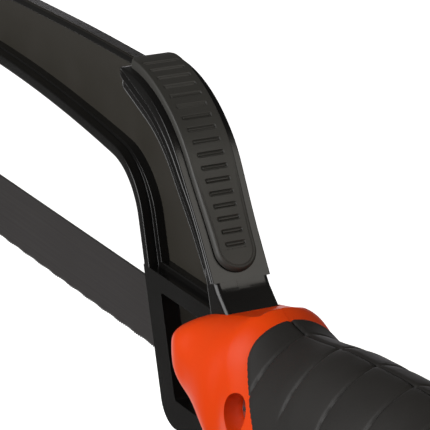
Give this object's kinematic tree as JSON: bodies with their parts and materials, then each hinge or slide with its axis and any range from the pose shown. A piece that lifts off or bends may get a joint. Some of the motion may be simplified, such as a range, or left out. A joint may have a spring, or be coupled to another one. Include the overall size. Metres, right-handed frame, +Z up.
{
  "type": "hacksaw",
  "caption": "Low-profile hacksaw: cast I-section bow with ribbed thumb pad, pinned straight blade, wing-nut tensioner and in-line two-shell handle with rubber grip.",
  "frame": {"origin": "middle of the flat underside of the heel box, in the saw's mid-plane", "axes": "+X forward along the blade, away from the handle; +Y to the saw's left side; +Z up, away from the teeth"},
  "size_m": [0.458, 0.029, 0.0709],
  "materials": {
    "frame_paint": "black enamel on cast aluminium, satin web and glossy rims",
    "pad_rubber": "matt moulded rubber with engraved ribs",
    "handle_plastic": "orange moulded plastic, satin",
    "grip_rubber": "soft black overmoulded rubber, satin",
    "blade_steel": "charcoal lacquered steel with bare cut teeth",
    "plated_steel": "bright zinc plate"
  },
  "bodies": {
    "frame": {"frame_bow": "frame_paint", "thumb_pad": "pad_rubber", "nose_pad": "pad_rubber", "handle_left_shell": "handle_plastic", "handle_right_shell": "handle_plastic", "grip_left": "grip_rubber", "grip_right": "grip_rubber", "handle_screw_front": "plated_steel", "handle_screw_middle": "plated_steel", "handle_screw_rear": "plated_steel", "rear_blade_pin": "plated_steel", "stud_bush": "plated_steel", "thrust_washer": "plated_steel"},
    "tension_stud": {"tension_stud": "plated_steel", "front_blade_pin": "plated_steel", "stud_stop_clip": "plated_steel"},
    "wing_nut": {"wing_nut": "plated_steel"},
    "blade": {"blade": "blade_steel"}
  },
  "joints": [
    {"name": "wing_nut_turn", "type": "hinge", "parent": "frame", "child": "wing_nut", "pos_m": [0.324, 0, 0.01535], "axis": [-1, 0, 0], "range_deg": [0, 324]},
    {"name": "stud_slide", "type": "slide", "parent": "frame", "child": "tension_stud", "axis": [-1, 0, 0], "range_m": [0, 0.0009]},
    {"name": "blade_lift_off", "type": "slide", "parent": "frame", "child": "blade", "axis": [0, -1, 0], "range_m": [0, 0.006]}
  ],
  "couplings": [
    {"joint": "stud_slide", "follows": "wing_nut_turn", "m_per_rad": 0.00015915}
  ]
}
